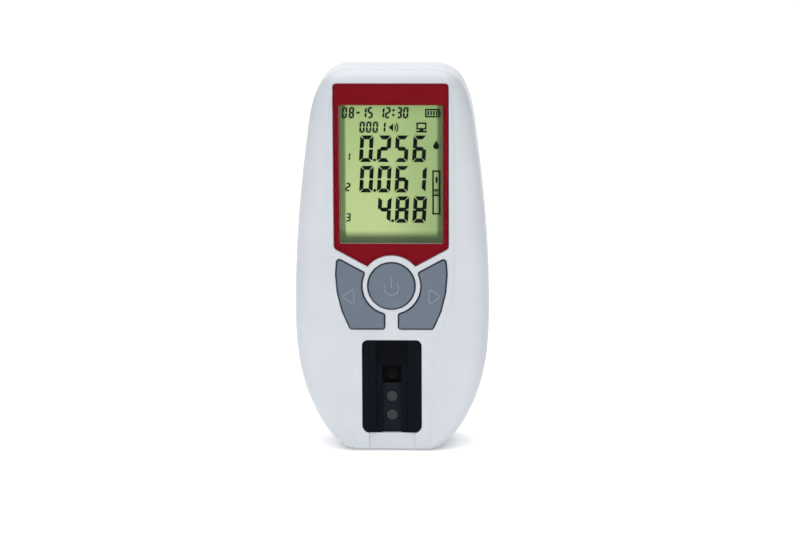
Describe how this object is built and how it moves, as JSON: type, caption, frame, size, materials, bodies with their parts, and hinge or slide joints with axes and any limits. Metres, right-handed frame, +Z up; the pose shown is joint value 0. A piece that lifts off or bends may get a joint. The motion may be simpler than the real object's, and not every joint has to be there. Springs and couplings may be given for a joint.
{
  "type": "renal function meter",
  "caption": "Hand-held strip-reading meter in a waisted white case, with a display panel, round power key, wing keys, strip bay and battery door.",
  "frame": {"origin": "middle of the footprint under the flat lower end that the meter stands on", "axes": "+Z up along the meter's length, display facing -Y, +X to the right seen from the front"},
  "size_m": [0.0674, 0.0294, 0.134],
  "materials": {
    "shell_white": "satin moulded ABS",
    "panel_clear": "clear polished acrylic",
    "panel_red": "red printed film",
    "lcd_green": "green-grey display glass with dark segments",
    "light_guide": "milky plastic",
    "rubber_strip": "striped elastomer",
    "frame_grey": "moulded plastic",
    "board_green": "solder-masked glass-fibre laminate",
    "key_grey": "soft satin moulding",
    "chip_black": "moulded epoxy",
    "holder_black": "fine satin moulding",
    "lens_smoke": "smoked clear plastic",
    "steel": "plated",
    "contact_plate": "tin-plated spring steel",
    "cell_wrap": "shrink-wrapped can"
  },
  "bodies": {
    "case": {"front_cover": "shell_white", "rear_cover": "shell_white", "display_lens": "panel_clear", "panel_film": "panel_red", "lcd_glass": "lcd_green", "lcd_backlight": "light_guide", "lcd_connector": "rubber_strip", "lcd_frame": "frame_grey", "main_board": "board_green", "power_switch": "chip_black", "left_switch": "chip_black", "right_switch": "chip_black", "strip_holder": "holder_black", "optics_block": "chip_black", "processor_chip": "chip_black", "radio_module": "steel", "buzzer": "chip_black", "usb_socket": "steel", "optic_window_1": "lens_smoke", "light_sensor_1": "light_guide", "battery_cell_1": "cell_wrap", "cell_spring_1": "steel", "optic_window_2": "lens_smoke", "light_sensor_2": "light_guide", "battery_cell_2": "cell_wrap", "cell_spring_2": "steel", "optic_window_3": "lens_smoke", "light_sensor_3": "light_guide", "battery_cell_3": "cell_wrap", "cell_spring_3": "steel", "case_screw_1": "steel", "board_screw_1": "steel", "contact_plate_1": "contact_plate", "case_screw_2": "steel", "board_screw_2": "steel", "contact_plate_2": "contact_plate", "case_screw_3": "steel", "board_screw_3": "steel", "contact_plate_3": "contact_plate", "case_screw_4": "steel", "board_screw_4": "steel", "contact_plate_4": "contact_plate"},
    "power_key": {"power_key": "key_grey", "power_plunger": "frame_grey"},
    "left_key": {"left_key": "key_grey", "left_plunger": "frame_grey"},
    "right_key": {"right_key": "key_grey", "right_plunger": "frame_grey"},
    "battery_door": {"battery_door": "shell_white"}
  },
  "joints": [
    {"name": "power_key_press", "type": "slide", "parent": "case", "child": "power_key", "axis": [0, 1, 0], "range_m": [0, 0.0005], "stiffness_N_per_m": 1000, "springref_m": -0.0005},
    {"name": "left_key_press", "type": "slide", "parent": "case", "child": "left_key", "axis": [0, 1, 0], "range_m": [0, 0.0005], "stiffness_N_per_m": 1000, "springref_m": -0.0005},
    {"name": "right_key_press", "type": "slide", "parent": "case", "child": "right_key", "axis": [0, 1, 0], "range_m": [0, 0.0005], "stiffness_N_per_m": 1000, "springref_m": -0.0005},
    {"name": "battery_door_tilt", "type": "hinge", "parent": "case", "child": "battery_door", "pos_m": [0, 0.0147, 0.0221], "axis": [-1, 0, 0], "range_deg": [0, 60]}
  ]
}
